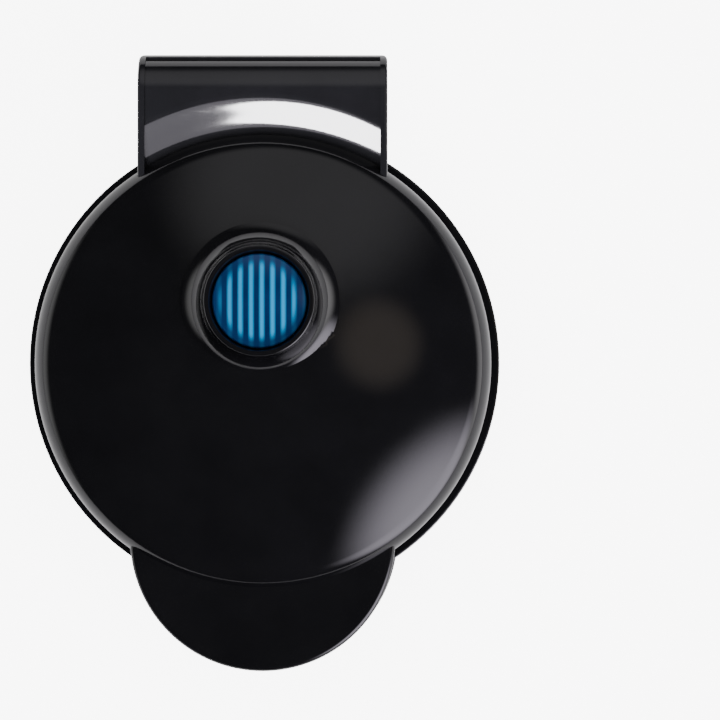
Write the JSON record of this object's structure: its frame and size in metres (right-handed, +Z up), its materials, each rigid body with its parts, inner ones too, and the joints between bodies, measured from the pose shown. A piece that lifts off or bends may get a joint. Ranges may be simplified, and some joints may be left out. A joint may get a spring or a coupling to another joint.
{
  "type": "waffle maker",
  "caption": "Small round electric waffle maker, closed: domed lid on a rear hinge, half-round handles, fluted indicator lens and heart-shaped cooking plates.",
  "frame": {"origin": "on the table, under the middle of the round body; the handle and the hinge reach equally far from it", "axes": "+Z up, -Y towards the handle (the user's side), +Y towards the hinge, +X right"},
  "size_m": [0.127, 0.165, 0.07],
  "materials": {
    "gloss_black": "smooth polished black plastic",
    "matt_black": "matt black heat-resisting plastic",
    "non_stick": "cast aluminium with a dark grey non-stick coat",
    "blue_lens": "translucent blue plastic, fluted inside",
    "steel": "plated steel",
    "galvanised": "galvanised sheet",
    "rubber": "matt black rubber",
    "insulator": "white insulating plastic",
    "lamp_glass": "clear glass with a warm tint",
    "red_sleeve": "red silicone sleeve",
    "blue_sleeve": "blue silicone sleeve",
    "bakelite": "dark brown bakelite"
  },
  "bodies": {
    "base": {"base_shell": "gloss_black", "lower_handle_cover": "gloss_black", "base_trim_ring": "matt_black", "bottom_cover": "matt_black", "hinge_saddle": "gloss_black", "terminal_block": "insulator", "cord_gland": "rubber", "gland_nut": "matt_black", "thermal_fuse": "insulator", "lower_cooking_plate": "non_stick", "lower_heating_element": "steel", "lower_heat_shield": "galvanised", "thermostat": "bakelite", "front_left_foot": "rubber", "front_right_foot": "rubber", "rear_left_foot": "rubber", "rear_right_foot": "rubber", "left_hinge_pin": "steel", "right_hinge_pin": "steel", "live_wire": "red_sleeve", "fuse_wire": "red_sleeve", "heater_wire": "red_sleeve", "neutral_wire": "blue_sleeve", "base_ring_screw_1": "steel", "base_ring_screw_2": "steel", "base_ring_screw_3": "steel", "base_ring_screw_4": "steel", "bottom_cover_screw_1": "steel", "bottom_cover_screw_2": "steel", "bottom_cover_screw_3": "steel", "saddle_screw_1": "steel", "saddle_screw_2": "steel", "thermostat_screw_1": "steel", "thermostat_screw_2": "steel"},
    "lid": {"lid_shell": "gloss_black", "upper_handle_cover": "gloss_black", "lid_trim_ring": "matt_black", "indicator_lens": "blue_lens", "lamp_holder": "insulator", "indicator_lamp": "lamp_glass", "upper_cooking_plate": "non_stick", "upper_heating_element": "steel", "upper_heat_shield": "galvanised", "lamp_wire_left": "red_sleeve", "lamp_wire_right": "blue_sleeve", "upper_heater_wire_left": "red_sleeve", "upper_heater_wire_right": "blue_sleeve", "lid_ring_screw_1": "steel", "lid_ring_screw_2": "steel", "lid_ring_screw_3": "steel", "lid_ring_screw_4": "steel", "lamp_screw_1": "steel", "lamp_screw_2": "steel"}
  },
  "joints": [
    {"name": "lid_hinge", "type": "hinge", "parent": "base", "child": "lid", "pos_m": [0, 0.0725, 0.037], "axis": [-1, 0, 0], "range_deg": [0, 100]}
  ]
}
